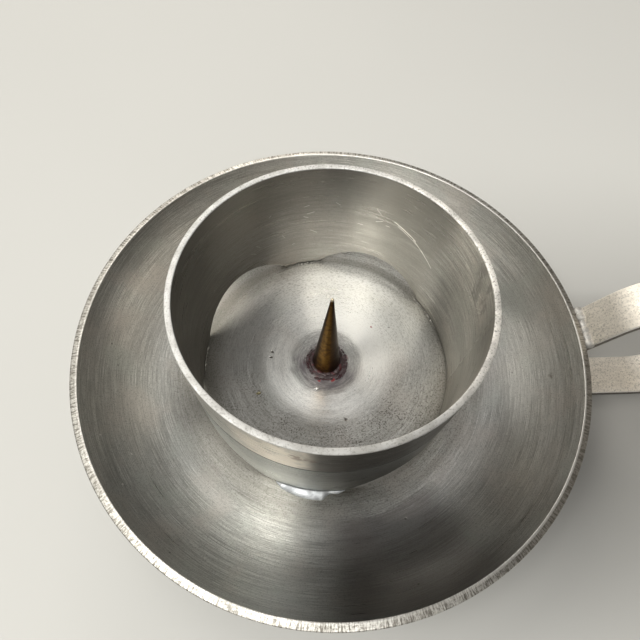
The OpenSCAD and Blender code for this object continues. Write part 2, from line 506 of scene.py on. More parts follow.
def make_spike():
    """Turned brass cone, slightly uneven, with a worn round point, and its tenon in the dish."""
    columns = 64
    neck_z = SPIKE_TOP - SPIKE_TIP
    cone = np.linspace(FLOOR_Z, neck_z, 60)
    point = neck_z + SPIKE_TIP * np.sin(np.linspace(0.15, 1.5, 8))
    angle = np.linspace(0, math.tau, columns, endpoint=False)
    rows = []
    for z in np.concatenate([cone, point]):
        w = (z - FLOOR_Z) / (neck_z - FLOOR_Z)
        if w <= 1:
            radius = SPIKE_R + (SPIKE_TIP - SPIKE_R) * w
        else:
            radius = math.sqrt(max(SPIKE_TIP ** 2 - (z - neck_z) ** 2, 1e-4))
        strength = 0.035 * min(1, radius)
        rows.append((radius + wobble(angle, 40 + int(w * 8), [2, 3, 5], strength) - strength, z))
    spike = turned_solid("spike_brass", rows, columns)
    tenon = turned_solid("spike_tenon", [(TENON_R, 0.02), (TENON_R, FLOOR_Z - 0.02)], 48)
    tenon.parent = spike
    return finish_piece(spike, "brass", "spike")


# ---- handle


def strip_stations():
    """Outer face point, inward normal and side shift along the strip, as in the CAD."""
    reach = math.hypot(LOOP_X - ROOT_X, LOOP_Z - ROOT_Z)
    rise = math.atan2(LOOP_Z - ROOT_Z, LOOP_X - ROOT_X) + math.asin(LOOP_R / reach)
    run = math.sqrt(reach ** 2 - LOOP_R ** 2)
    stations = []
    for x in np.linspace(STRIP_LOW[0], LOOP_X, 40)[:-1]:
        stations.append(((x, LOOP_Z - LOOP_R), (0, 1), -LOOP_OFFSET))
    steps = 130
    for i in range(steps + 1):
        a = -math.pi / 2 + (rise + math.pi) * i / steps
        drift = -LOOP_OFFSET * (1 + math.cos(math.pi * min(1, i * 1.12 / steps))) / 2
        stations.append(((LOOP_X + LOOP_R * math.cos(a), LOOP_Z + LOOP_R * math.sin(a)),
                         (-math.cos(a), -math.sin(a)), drift))
    for d in np.linspace(run, -ROOT_TAIL, 40)[1:]:
        stations.append(((ROOT_X + d * math.cos(rise), ROOT_Z + d * math.sin(rise)),
                         (math.sin(rise), -math.cos(rise)), 0))
    return stations


def strip_section():
    """Rounded rectangle of the strip as (across, depth) pairs, its two flat faces divided finely."""
    half = STRIP_W / 2 - STRIP_CORNER
    points = []
    for start, side, depth in ((-90, 1, 0), (0, 1, STRIP_T), (90, -1, STRIP_T), (180, -1, 0)):
        middle = min(max(depth, STRIP_CORNER), STRIP_T - STRIP_CORNER)
        for step in range(5):
            a = math.radians(start + 22.5 * step)
            points.append((side * half + STRIP_CORNER * math.cos(a), middle + STRIP_CORNER * math.sin(a)))
        if start in (0, 180):
            points += [(side * w * half, depth) for w in np.linspace(1, -1, 13)[1:-1]]
    return points


def clear_of_dish(point):
    """Moves a point that lies inside the dish's outer face out onto it."""
    radius = math.hypot(point[0], point[1])
    if radius < FLAT_R or point[2] > RIM_Z:
        return point
    away = np.array([radius - FLAT_R, point[2] - WALL_Z])
    gap = np.linalg.norm(away)
    limit = WALL_R + METAL + 0.02
    if gap >= limit or away[1] > 0:
        return point
    away = away * limit / gap
    scale = (FLAT_R + away[0]) / radius
    return (point[0] * scale, point[1] * scale, WALL_Z + away[1])


def make_handle():
    """The bent strip, slightly uneven, with worn edges, kept clear of the dish at both ends."""
    section = strip_section()
    half = STRIP_W / 2
    points = []
    for i, (face, normal, shift) in enumerate(strip_stations()):
        for across, depth in section:
            uneven = 0.03 * noise.noise(Vector((i * 0.11, across * 0.3, depth)))
            depth = min(max(depth + uneven, 0), STRIP_T)
            if abs(across) > half - 0.5:
                wear = 0.05 * noise.noise(Vector((i * 0.35, math.copysign(5, across), 3)))
                across -= math.copysign(abs(wear), across)
            point = (face[0] + depth * normal[0], shift + across, face[1] + depth * normal[1])
            points.append(clear_of_dish(point))
    count = len(section)
    strip = capped_tube("handle_bent", points, count)
    # The cut sides and the rounded corners have materials of their own
    for face in strip.data.polygons[:-2]:
        across = min(abs(section[k % count][0]) for k in (face.index, face.index + 1))
        if across > half - 0.05:
            face.material_index = 1
        elif across > half - 0.38:
            face.material_index = 2
    return finish_piece(strip, "pewter", "handle_strip")


def make_handle_solder():
    """Lumps between the rim and the strip, and a run in the wedge under the dish."""
    dice = random.Random(23)
    low, high = box_mm("handle_rim_solder")
    blobs = []
    for w in (np.arange(6) + 0.5) / 6:
        y = low[1] + (high[1] - low[1]) * w
        bow = RIM_OUT_R - y * y / 140
        lump = dice.uniform(0.9, 1.15) * (1.25 if w > 0.6 else 1)
        blobs.append(((bow + 1.15, y, RIM_Z - 0.95), (1.3 * lump, 1.5, 1.0 * lump), 0))
        blobs.append(((bow + 0.3, y, RIM_Z - 2.4), (1.2, 1.3, 1.5), 0))
        blobs.append(((bow - 0.8, y, RIM_Z - 4.4), (0.7, 1.3, 1.4), 0))
    blobs.append(((RIM_OUT_R + 1.7, low[1] + 0.5, RIM_Z - 0.7), (0.7, 0.6, 0.65), 0))
    rim = lumps("handle_rim_bead", blobs, softening=14)
    low, high = box_mm("handle_base_solder")
    blobs = []
    for w in (np.arange(9) + 0.5) / 9:
        y = low[1] + (high[1] - low[1]) * w
        x = 56.6 - y * y / 110 + dice.uniform(-0.2, 0.2)
        blobs.append(((x, y, STRIP_T + 0.5), (1.4 * dice.uniform(0.8, 1.1), 1.0, 0.6), 0))
    base = lumps("handle_base_bead", blobs, voxel=0.15, softening=4)
    return [finish_piece(rim, "solder", "handle_rim_solder"),
            finish_piece(base, "solder", "handle_base_solder")]


# ---- materials


class Graph:
    """Builds one node material with short calls. Inputs may be numbers or other nodes' outputs."""

    def __init__(self, name):
        self.material = bpy.data.materials.new(name)
        self.material.use_nodes = True
        self.tree = self.material.node_tree
        self.shader = self.tree.nodes["Principled BSDF"]
        self.place = self.add("TexCoord").outputs["Object"]
        self.colour = None
        self.normal = None

    def add(self, kind, inputs=(), **settings):
        """A new node with settings and its first inputs."""
        node = self.tree.nodes.new("ShaderNode" + kind)
        for key, value in settings.items():
            setattr(node, key, value)
        for socket, value in zip(node.inputs, inputs):
            self.put(socket, value)
        return node

    def put(self, socket, value):
        """Links an output to a socket or sets the socket's own value; None leaves it as it is."""
        if isinstance(value, bpy.types.NodeSocket):
            self.tree.links.new(value, socket)
        elif value is not None:
            is_colour = socket.type == "RGBA" and isinstance(value, tuple)
            socket.default_value = (*value, 1.0) if is_colour else value

    def math(self, operation, *values):
        return self.add("Math", values, operation=operation).outputs[0]

    def times(self, *values):
        total = values[0]
        for value in values[1:]:
            total = self.math("MULTIPLY", total, value)
        return total

    def vector(self, operation, *values):
        node = self.add("VectorMath", values, operation=operation)
        return node.outputs["Value"] if operation in ("LENGTH", "DISTANCE") else node.outputs[0]

    def join(self, x, y, z):
        return self.add("CombineXYZ", (x, y, z)).outputs[0]

    def noise(self, scale, detail=2.0, rough=0.5, vector=None):
        """Noise from 0 to 1, per metre of the object or in another vector."""
        return self.add("TexNoise", (vector or self.place, None, scale, detail, rough)).outputs[0]

    def cells(self, scale):
        """Distance to the nearest of many scattered points."""
        return self.add("TexVoronoi", (self.place, None, scale)).outputs["Distance"]

    def fit(self, value, low, high, new_low=0.0, new_high=1.0):
        """Smooth step of a value from one range into another, held at the ends."""
        values = (value, low, high, new_low, new_high)
        return self.add("MapRange", values, interpolation_type="SMOOTHSTEP").outputs[0]

    def blend(self, amount, a, b):
        """Colour a where amount is 0 and b where it is 1."""
        node = self.add("Mix", data_type="RGBA")
        for index, value in ((0, amount), (6, a), (7, b)):
            self.put(node.inputs[index], value)
        return node.outputs[2]

    def stain(self, colour, *amounts):
        """Lays a colour over what is there, as strongly as the product of the amounts."""
        self.colour = self.blend(self.times(*amounts), self.colour, colour)

    def relief(self, height, depth):
        """Adds a bump of a depth in millimetres on top of what is there."""
        node = self.add("Bump", invert=depth < 0)
        self.put(node.inputs["Height"], height)
        node.inputs["Distance"].default_value = abs(depth) * MM
        self.put(node.inputs["Normal"], self.normal)
        self.normal = node.outputs[0]

    def spot(self, centre, radius):
        """1 inside a small ragged spot at a place in millimetres, fading to 0 at its edge."""
        away = self.vector("DISTANCE", self.place, tuple(c * MM for c in centre))
        reach = radius * MM
        ragged = self.math("MULTIPLY_ADD", self.noise(900 / radius), reach * 2.2, away)
        return self.fit(ragged, reach * 1.5, reach * 2.0, 1, 0)

    def stroke(self, start, end, width):
        """1 along a short straight scratch inside the ring; its ends are (degrees, height)."""
        a = np.array((math.radians(start[0]) * INNER_R, start[1]))
        run = np.array((math.radians(end[0]) * INNER_R, end[1])) - a
        step = run / run.dot(run)
        across = self.math("MULTIPLY_ADD", self.turn, INNER_R, -a[0])
        up = self.math("SUBTRACT", self.height, a[1])
        share = self.math("ADD", self.times(across, step[0]), self.times(up, step[1]))
        share = self.math("MINIMUM", self.math("MAXIMUM", share, 0.0), 1.0)
        off = self.join(self.math("MULTIPLY_ADD", share, -run[0], across),
                        self.math("MULTIPLY_ADD", share, -run[1], up), 0.0)
        return self.fit(self.vector("LENGTH", off), width * 0.35, width, 1, 0)

    def set(self, **values):
        """Sets or links the shader's inputs; a space in an input's name is written as _."""
        for name, value in values.items():
            self.put(self.shader.inputs[name.replace("_", " ")], value)

    def metal(self, roughness, metallic=1.0):
        """Connects colour, roughness and relief, and hands the material back."""
        self.set(Base_Color=self.colour, Roughness=roughness, Metallic=metallic, Normal=self.normal)
        return self.material


def shade(colour, *factors):
    """A colour times one factor, or times one for each of red, green and blue."""
    return tuple(c * f for c, f in zip(colour, factors * 3 if len(factors) == 1 else factors))


def round_marks(g, centre_x):
    """Where a point lies on a turned surface: radius, height and direction round the axis."""
    x, y, z = g.add("SeparateXYZ", [g.vector("SUBTRACT", g.place, (centre_x * MM, 0, 0))]).outputs
    flat = g.join(x, y, 0.0)
    g.radius = g.math("DIVIDE", g.vector("LENGTH", flat), MM)
    g.height = g.math("DIVIDE", z, MM)
    outwards = g.vector("NORMALIZE", flat)
    g.ux, g.uy, _ = g.add("SeparateXYZ", [outwards]).outputs
    g.turn = g.math("ARCTAN2", g.uy, g.ux)
    g.section = g.math("ADD", g.radius, g.height)
    g.set(Tangent=g.vector("CROSS_PRODUCT", (0, 0, 1), outwards))


def streaks(g, per_mm, length, detail=2.0, shift=0.0):
    """Noise drawn out round the axis: per_mm sets its fineness across, length how soon it changes."""
    across = g.math("MULTIPLY_ADD", g.section, per_mm, shift)
    return g.noise(1.0, detail, 0.6, g.join(across, g.times(g.ux, length), g.times(g.uy, length)))


def facing(g, degrees, low, high):
    """1 towards a direction round the axis; low and high are cosines of the angles where it fades."""
    turn = math.radians(degrees)
    toward = g.math("ADD", g.times(g.ux, math.cos(turn)), g.times(g.uy, math.sin(turn)))
    return g.fit(toward, low, high)


def turned_pewter(name, base, rough):
    """Fine lathe marks in colour, gloss and relief over soft clouds of tarnish."""
    g = Graph(name)
    round_marks(g, CUP_X)
    hair = streaks(g, 5.0, 5.0, shift=3)
    fine = streaks(g, 2.2, 3.5, shift=9)
    short = streaks(g, 3.2, 24, shift=33)
    broad = streaks(g, 0.45, 1.6, shift=19)
    grain = g.noise(3000, 3.0, 0.65)
    cloud = g.noise(34, 3.0, 0.55)
    tint = g.noise(75)
    g.colour = shade(base, 0.66)
    g.stain(shade(base, 1.3), g.fit(hair, 0.36, 0.64))
    g.stain(shade(base, 0.6), g.fit(fine, 0.44, 0.7, 0, 0.4))
    g.stain(shade(base, 0.7), g.fit(broad, 0.4, 0.7, 0, 0.35))
    g.stain(shade(base, 0.55), g.fit(short, 0.48, 0.66, 0, 0.35))
    g.stain(shade(base, 1.3), g.fit(short, 0.46, 0.32, 0, 0.3))
    g.stain(shade(base, 1.01, 0.955, 0.94), g.fit(tint, 0.52, 0.68, 0, 0.6))
    g.stain(shade(base, 0.945, 0.98, 0.965), g.fit(tint, 0.46, 0.32, 0, 0.6))
    g.stain(shade(base, 1.04, 0.97, 0.92), g.fit(cloud, 0.45, 0.7, 0, 0.3))
    g.stain(shade(base, 0.42), g.fit(grain, 0.5, 0.66, 0, 0.6))
    g.roughness = g.math("ADD", g.fit(fine, 0.3, 0.7, rough - 0.03, rough + 0.03),
                         g.fit(broad, 0.35, 0.7, -0.02, 0.03))
    g.relief(g.math("ADD", g.fit(hair, 0.38, 0.62, 0, 0.1), g.fit(fine, 0.36, 0.62, 0, 0.16)), 0.008)
    g.relief(grain, 0.01)
    g.set(Anisotropic=0.88, Anisotropic_Rotation=0.25)
    return g


# Dark colours used both for grime, soot and tarnish and for painted shade
GRIME_AND_SHADE = (0.1, 0.095, 0.08)
SOOT_AND_SHADE = (0.12, 0.115, 0.1)
TARNISH_AND_SHADE = (0.2, 0.19, 0.17)


def dish_material():
    g = turned_pewter("pewter_dish", (0.655, 0.655, 0.64), 0.32)
    on_top = g.fit(g.height, FLOOR_Z - 0.6, FLOOR_Z - 0.3)
    on_floor = g.times(on_top, g.fit(g.height, FLOOR_Z + 0.4, FLOOR_Z + 1.4, 1, 0))
    inside = g.times(on_floor, g.fit(g.radius, CUP_R - 2.5, CUP_R - 1, 1, 0))
    # A ring round the spike is painted bright, partly rubbed by candle ends and partly a painted highlight;
    # the floor beyond it is frosted with wear
    specks = g.fit(g.noise(2100, 4.0, 0.7), 0.5, 0.64)
    frost = streaks(g, 3.2, 34, 3.0, shift=71)
    candle = g.times(inside, g.fit(g.radius, 10, 12))
    g.stain((0.84, 0.83, 0.81), candle, g.fit(frost, 0.42, 0.6), 0.3)
    g.stain((0.3, 0.29, 0.27), candle, g.fit(frost, 0.48, 0.36), 0.4)
    painted_highlight = g.times(g.fit(g.radius, 9.8, 12.4), g.fit(g.radius, 15.5, 22.5, 1, 0), inside)
    worn = g.fit(streaks(g, 1.3, 1.4, 4.0, shift=43), 0.36, 0.58, 0.6, 0.98)
    rings = g.fit(streaks(g, 7.0, 16, 3.0, shift=91), 0.4, 0.58, 0.45, 1)
    back_left = g.fit(facing(g, 120, 0.8, 0.98), 0, 1, 1, 0.35)
    g.stain((0.93, 0.92, 0.89), painted_highlight, worn, rings, back_left)
    # Painted highlight: brighter towards the right and, over the whole floor inside the ring, towards the
    # back-right
    g.stain((0.95, 0.94, 0.92), painted_highlight, facing(g, 20, 0.6, 0.95), rings, 0.8)
    g.stain((0.92, 0.92, 0.91), candle, facing(g, 65, 0.1, 0.95), g.fit(frost, 0.32, 0.56, 0.3, 0.85))
    # Painted shade towards the left and the right, and painted shade with dark specks along the front
    sides = (((0.25, 0.24, 0.22), 16, (215, 0.0, 0.9), 0.42),
             ((0.27, 0.27, 0.265), 18, (158, 0.7, 0.95), 0.35),
             ((0.27, 0.275, 0.275), 20, (26, 0.92, 0.99), 0.25))
    for colour, start, fade, amount in sides:
        g.stain(colour, candle, g.fit(g.radius, start, start + 6), facing(g, *fade), amount)
    dull = g.times(inside, g.fit(g.radius, 17, 24), facing(g, 270, -0.3, 0.8))
    g.stain((0.24, 0.225, 0.195), dull, 0.42)
    g.stain((0.075, 0.066, 0.052), dull, specks, g.fit(g.noise(190), 0.35, 0.6, 0.45, 1), 0.95)
    # Wax and soot round the spike's foot, drawn out along the turning lines
    smears = streaks(g, 1.3, 2.2, 3.0, shift=61)
    ragged = g.math("ADD", g.noise(360, 3.0, 0.6), smears)
    edge = g.math("MULTIPLY_ADD", ragged, -2.6, g.radius)
    soot = g.times(g.fit(edge, 5.5, 9.4, 1, 0), inside, g.fit(facing(g, 250, -0.6, 0.8), 0, 1, 0.38, 1))
    g.stain((0.17, 0.155, 0.17), soot, g.fit(smears, 0.38, 0.62, 0.7, 1))
    g.stain((0.06, 0.038, 0.042), g.fit(edge, 2.6, 4.6, 1, 0), inside, 0.9)
    red = g.fit(g.noise(620), 0.56, 0.66)
    g.stain((0.25, 0.03, 0.045), g.fit(edge, 3.2, 4.6, 1, 0), red, inside, 0.35)
    # Painted shade with grime in the corner where the ring stands; painted shade on the floor round the
    # ring, most at the front-left and the back-left; dark specks round the feet
    corner = g.math("ABSOLUTE", g.math("SUBTRACT", g.radius, CUP_R - 0.75))
    g.stain(GRIME_AND_SHADE, g.fit(corner, 0.8, 2.6, 0.5, 0), on_floor)
    near_ring = g.times(g.fit(g.radius, 31, 36), g.fit(g.radius, 42, 52, 1, 0), on_floor)
    g.stain((0.24, 0.23, 0.2), near_ring, 0.42)
    g.stain(TARNISH_AND_SHADE, near_ring, facing(g, 222, 0.5, 0.95), 0.58)
    # Painted shade on the dish wall at the front-right
    g.stain((0.2, 0.185, 0.18), g.fit(g.radius, 44.6, 48), facing(g, 287, 0.925, 0.985), on_top, 0.72)
    g.stain(TARNISH_AND_SHADE, near_ring, facing(g, 140, 0.8, 0.97), 0.35)
    g.stain(SOOT_AND_SHADE, near_ring, specks, 0.55)
    # Marks of use: pits, dents, bright nicks, a smudge and old wax dots
    pit = g.times(g.fit(g.cells(230), 0.05, 0.09, 1, 0), g.fit(g.noise(60, 1.0), 0.56, 0.6))
    g.stain((0.1, 0.095, 0.085), pit, on_top, 0.6)
    g.relief(g.times(pit, on_top), -0.05)
    for x, y, wide in ((-18.0, 3.3, 0.6), (-18.3, 1.6, 0.5), (3.8, -18.8, 0.7)):
        dent = g.spot((x, y, FLOOR_Z), wide)
        g.stain((0.07, 0.06, 0.055), dent, 0.85)
        g.relief(dent, -0.12)
    for x, y, z, wide in ((-61, -24.9, 15.5, 0.4), (-53.7, -37.3, 14.5, 0.6), (-54.3, -28.6, 9.3, 0.4)):
        g.stain((0.95, 0.94, 0.92), g.spot((x, y, z), wide), 0.8)
    smudge = g.fit(g.noise(900), 0.4, 0.6, 0.1, 0.6)
    g.stain((0.15, 0.12, 0.1), g.spot((63, -10.6, 12.1), 1.1), smudge)
    for x, y, wide in ((0.4, -6.4, 0.9), (-3.6, -6.6, 0.7), (13.9, 11.4, 0.45)):
        g.stain((0.34, 0.02, 0.03), g.spot((x, y, FLOOR_Z), wide), 0.85)
    dirt = g.times(soot, 0.7)
    return g.metal(g.math("MULTIPLY_ADD", dirt, 0.25, g.roughness), g.math("SUBTRACT", 1.0, dirt))


def cup_material():
    g = turned_pewter("pewter_cup", (0.5, 0.485, 0.45), 0.31)
    outside = g.fit(g.radius, CUP_R - 0.75, CUP_R - 0.65)
    inside = g.math("SUBTRACT", 1.0, outside)
    # Dark line in the turned groove, and a lower band under it painted darker and cooler as reflection,
    # most at the front-left, with painted shade at the front-right
    off_groove = g.math("ABSOLUTE", g.math("SUBTRACT", g.height, GROOVE_Z))
    g.stain((0.03, 0.027, 0.024), g.fit(off_groove, GROOVE_W * 0.7, GROOVE_W, 1, 0), outside, 0.95)
    lower = g.times(g.fit(g.height, GROOVE_Z - 0.3, GROOVE_Z, 1, 0), outside)
    g.stain((0.2, 0.222, 0.222), lower, g.fit(facing(g, 255, -0.1, 0.75), 0, 1, 0.15, 0.6))
    g.stain((0.15, 0.15, 0.14), lower, facing(g, 297, 0.75, 0.88), 0.5)
    # Above the groove: a painted warm reflection at the front-left and a painted dark reflection at the
    # front-right
    upper = g.times(g.fit(g.height, GROOVE_Z, GROOVE_Z + 0.3), outside)
    patchy = g.fit(g.noise(150, 3.0, 0.6), 0.36, 0.52, 0.4, 1)
    g.stain((0.88, 0.8, 0.7), upper, facing(g, 253, 0.92, 0.99), patchy, 0.65)
    g.stain((0.08, 0.074, 0.066), upper, facing(g, 289, 0.855, 0.905), 0.86)
    smudge = g.times(g.spot((-9.5, -38.2, CUP_TOP - 6.5), 3.2), g.fit(g.noise(700, 3.0), 0.4, 0.55))
    g.stain((0.16, 0.085, 0.05), smudge, outside, 0.7)
    # Painted contact shade with grime, darker towards the floor
    g.stain(GRIME_AND_SHADE, g.fit(g.height, FLOOR_Z, FLOOR_Z + 1.8, 0.5, 0))
    # Inside: painted shade over most of the wall, deepest at the back-right, at the left and low at the
    # right-front; tarnished towards the top, brushed in level bands, scratched round the back
    off_seam = g.math("SUBTRACT", 1.0, facing(g, 9, 0.91, 0.985))
    g.stain((0.3, 0.285, 0.255), inside, off_seam, 0.46)
    g.stain(TARNISH_AND_SHADE, inside, g.fit(g.height, 22, 40, 0, 0.5), off_seam)
    g.stain(SOOT_AND_SHADE, inside, facing(g, 56, 0.86, 0.985), 0.66)
    g.stain((0.13, 0.12, 0.1), inside, facing(g, 150, 0.1, 0.8), 0.3)
    g.stain(SOOT_AND_SHADE, inside, facing(g, 338, 0.8, 0.97), g.fit(g.height, 27, 17), 0.5)
    level = g.join(g.times(g.height, 0.8), g.times(g.ux, 0.8), g.times(g.uy, 0.8))
    band = g.noise(1.0, 3.0, 0.65, level)
    g.stain(TARNISH_AND_SHADE, inside, g.fit(band, 0.46, 0.66, 0, 0.3))
    dice = random.Random(17)
    marks = g.stroke((57, 30.1), (45, 27.2), 0.22)
    marks = g.math("MAXIMUM", marks, g.stroke((46, 27.1), (33, 22), 0.17))
    marks = g.math("MAXIMUM", marks, g.stroke((55, 28.9), (40, 25), 0.12))
    for _ in range(14):
        turn, high = dice.uniform(58, 128), dice.uniform(12, 32)
        run, lift = dice.uniform(1, 3.5), dice.uniform(-1.6, 1.6)
        cut = g.stroke((turn, high), (turn + run, high + lift), dice.uniform(0.09, 0.16))
        marks = g.math("MAXIMUM", marks, g.times(cut, dice.uniform(0.5, 1)))
    marks = g.times(marks, inside)
    g.stain((0.85, 0.82, 0.76), marks, 0.7)
    g.relief(marks, 0.012)
    # Smear of solder and crossed file marks beside the seam
    tilted = g.vector("MULTIPLY", g.place, (1.0, 1.0, 0.45))
    smear = g.times(g.fit(g.noise(260, 3.0, 0.6, tilted), 0.5, 0.62), inside, facing(g, -4, 0.955, 0.985))
    g.stain((0.17, 0.165, 0.15), smear, g.fit(g.height, 28, 35), 0.55)
    for _ in range(9):
        turn, high = dice.uniform(-13, 9), dice.uniform(34, 42.5)
        run, lift = dice.uniform(1.5, 4), dice.choice((-1, 1)) * dice.uniform(0.8, 2.4)
        cut = g.stroke((turn, high), (turn + run, high + lift), 0.12)
        g.stain((0.8, 0.78, 0.73), cut, inside, 0.5)
    return g.metal(g.roughness)


def rim_material():
    """The dish's filed rim: a worn bright inner edge and a brown-grey land with fine file strokes."""
    g = Graph("pewter_rim_cut")
    round_marks(g, 0)
    specks = g.fit(g.noise(1700, 3.0, 0.7), 0.5, 0.64)
    broad = g.noise(120)
    around = g.join(g.times(g.ux, 170), g.times(g.uy, 170), g.times(g.section, 0.5))
    strokes = g.noise(1.0, 3.0, 0.7, around)
    dark = (0.2, 0.185, 0.165)
    g.colour = (0.62, 0.61, 0.585)
    g.stain(dark, g.fit(strokes, 0.4, 0.62, 0, 0.75))
    g.stain(dark, g.fit(broad, 0.45, 0.7, 0, 0.3))
    # Painted shade darkens the land towards the right; the land is also a little darker at the front-left
    g.stain((0.3, 0.275, 0.24), facing(g, -14, 0.6, 0.9), 0.65)
    g.stain((0.36, 0.35, 0.33), facing(g, 228, 0.85, 0.98), 0.4)
    g.stain((0.11, 0.1, 0.085), g.fit(strokes, 0.5, 0.6, 0, 0.6))
    g.stain(dark, specks, 0.75)
    inner_edge = g.fit(g.radius, RIM_IN_R + 0.25, RIM_IN_R + 0.5, 1, 0)
    right = g.fit(facing(g, 20, -0.2, 0.4), 0, 1, 0.3, 0.9)
    g.stain((0.88, 0.87, 0.85), inner_edge, g.fit(broad, 0.3, 0.6, 1, 0.7), right)
    g.relief(strokes, 0.025)
    g.relief(specks, -0.02)
    return g.metal(g.fit(broad, 0.3, 0.7, 0.38, 0.5))


def cup_edge_material():
    """The cup's top edge: rubbed pale by candles and painted nearly white towards the right as highlight,
    with tiny dark pits.
    """
    g = Graph("pewter_cup_edge")
    round_marks(g, CUP_X)
    pits = g.fit(g.noise(2000, 3.0, 0.7), 0.54, 0.63)
    broad = g.noise(260, 3.0)
    g.colour = (0.7, 0.7, 0.7)
    # Painted highlight whitens the edge towards the right
    g.stain((1.0, 0.98, 0.95), facing(g, 8, 0.3, 0.95))
    g.stain((0.55, 0.545, 0.535), g.fit(broad, 0.4, 0.65, 0, 0.6))
    g.stain((0.3, 0.29, 0.275), pits, g.fit(facing(g, 60, -0.6, 0.6), 0, 1, 0.4, 0.8))
    g.relief(pits, -0.03)
    g.relief(broad, 0.045)
    return g.metal(g.fit(broad, 0.3, 0.7, 0.62, 0.74))


def handle_material():
    """Strip pewter: softly brushed along its length, finely pitted, warm and pale."""
    g = Graph("pewter_handle")
    brush = g.noise(1500, 3.0, 0.6, g.vector("MULTIPLY", g.place, (0.2, 1.0, 0.2)))
    grain = g.noise(2000, 4.0, 0.7)
    cloud = g.noise(110, 3.0, 0.6)
    base = (0.9, 0.855, 0.79)
    g.colour = shade(base, 1.12)
    g.stain(shade(base, 0.84), g.fit(brush, 0.35, 0.7, 0, 0.6))
    g.stain(shade(base, 0.52), g.fit(grain, 0.48, 0.64, 0, 0.75))
    g.stain(shade(base, 0.78), g.fit(cloud, 0.42, 0.68, 0, 0.4))
    g.relief(brush, 0.012)
    g.relief(grain, 0.025)
    return g.metal(g.fit(cloud, 0.3, 0.7, 0.46, 0.56))


def layered(name, base, layers, gloss, metallic=1.0):
    """A base colour under layers of noise, with a roughness that follows one of them.

    A layer is its noise (scale, detail, roughness), its range and strength (low, high, amount), its
    colour and its relief. The gloss is (number of the layer, low, high, smoothest, roughest).
    """
    g = Graph(name)
    g.colour = base
    textures = []
    for texture, (low, high, amount), colour, depth in layers:
        textures.append(g.noise(*texture))
        g.stain(colour, g.fit(textures[-1], low, high, 0, amount))
        if depth:
            g.relief(textures[-1], depth)
    return g.metal(g.fit(textures[gloss[0]], *gloss[1:]), metallic)


def handle_side_materials():
    """The strip's cut sides, painted dark as shade and rough, and its rounded corners, polished by fingers
    and painted pale as highlight.
    """
    grain = ((1400, 4.0, 0.7), (0.4, 0.65, 1), (0.14, 0.13, 0.115), 0.02)
    cloud = ((160,), (0.45, 0.7, 0.5), (0.3, 0.28, 0.25), 0)
    # Painted shade: the cut sides are dark
    side = layered("pewter_handle_side_painted_shade", (0.26, 0.24, 0.215), (grain, cloud), (1, 0.3, 0.7, 0.45, 0.6))
    cloud = ((160,), (0.4, 0.7, 0.5), (0.7, 0.67, 0.62), 0)
    grain = ((1400, 3.0, 0.7), (0.54, 0.66, 0.6), (0.4, 0.38, 0.35), 0)
    # Painted highlight: the rounded corners are pale
    corner = layered("pewter_handle_corner_painted_highlight", (0.92, 0.9, 0.86), (cloud, grain), (0, 0.3, 0.7, 0.36, 0.48))
    return side, corner


def solder_material(name, pale, dark, rough):
    """Soft solder: satin, clouded, with fine frost."""
    frost = ((1500, 3.0, 0.65), (0.5, 0.75, 0.6), dark, 0.03)
    cloud = ((420,), (0.48, 0.7, 0.6), dark, 0.04)
    return layered(name, pale, (frost, cloud), (1, 0.35, 0.65, rough - 0.05, rough + 0.08))


def brass_material():
    """Turned brass gone brown, dark at the foot, with a painted highlight down its front, painted shade
    round the rest and a rubbed point.
    """
    g = Graph("brass_aged")
    round_marks(g, CUP_X)
    rings = g.noise(1.0, 3.0, 0.6, g.join(g.times(g.height, 3.2), g.ux, g.uy))
    patch = g.noise(420, 4.0, 0.65)
    grain = g.noise(2600, 3.0, 0.7)
    g.colour = (0.21, 0.105, 0.015)
    g.stain((0.105, 0.048, 0.006), g.fit(rings, 0.35, 0.68))
    g.stain((0.06, 0.027, 0.006), g.fit(patch, 0.44, 0.68, 0, 0.6))
    g.stain((0.03, 0.014, 0.004), g.fit(grain, 0.5, 0.7, 0, 0.6))
    g.stain((0.05, 0.022, 0.012), g.fit(g.height, FLOOR_Z + 1.5, FLOOR_Z + 8, 0.7, 0))
    g.stain((0.09, 0.032, 0.008), g.fit(g.height, SPIKE_TOP - 16, SPIKE_TOP - 3, 0, 0.5))
    # Painted highlight: a golden stripe down the front-left, with painted shade round the rest of the cone
    painted_highlight = facing(g, 246, 0.62, 0.97)
    g.stain((0.022, 0.01, 0.003), g.fit(painted_highlight, 0, 1, 0.72, 0))
    g.stain((0.4, 0.215, 0.035), g.fit(painted_highlight, 0.5, 1), g.fit(patch, 0.4, 0.6, 0.5, 0.05))
    g.stain((0.9, 0.8, 0.62), g.fit(g.height, SPIKE_TOP - 1.0, SPIKE_TOP - 0.4, 0, 0.9))
    g.relief(rings, 0.01)
    g.relief(grain, 0.008)
    g.set(Anisotropic=0.75, Anisotropic_Rotation=0.25)
    return g.metal(g.fit(patch, 0.35, 0.65, 0.3, 0.38))


def collar_material():
    """Solder at the spike's foot, hidden under dark red wax and soot."""
    wax = ((700, 3.0, 0.6), (0.4, 0.6, 1), (0.095, 0.07, 0.075), 0.05)
    red = ((560,), (0.55, 0.62, 0.4), (0.16, 0.012, 0.02), 0)
    return layered("solder_waxed", (0.04, 0.022, 0.024), (wax, red), (0, 0.4, 0.6, 0.3, 0.5), 0.3)


def wax_film_material():
    """Old candle wax run round the spike: dark red to purple, glossy and dirty."""
    cloud = ((520, 3.0, 0.6), (0.4, 0.6, 1), (0.11, 0.082, 0.088), 0.04)
    dirt = ((1500, 3.0, 0.7), (0.48, 0.62, 0.8), (0.03, 0.022, 0.022), 0)
    return layered("wax_dark", (0.05, 0.02, 0.025), (cloud, dirt), (1, 0.4, 0.6, 0.25, 0.45), 0.35)


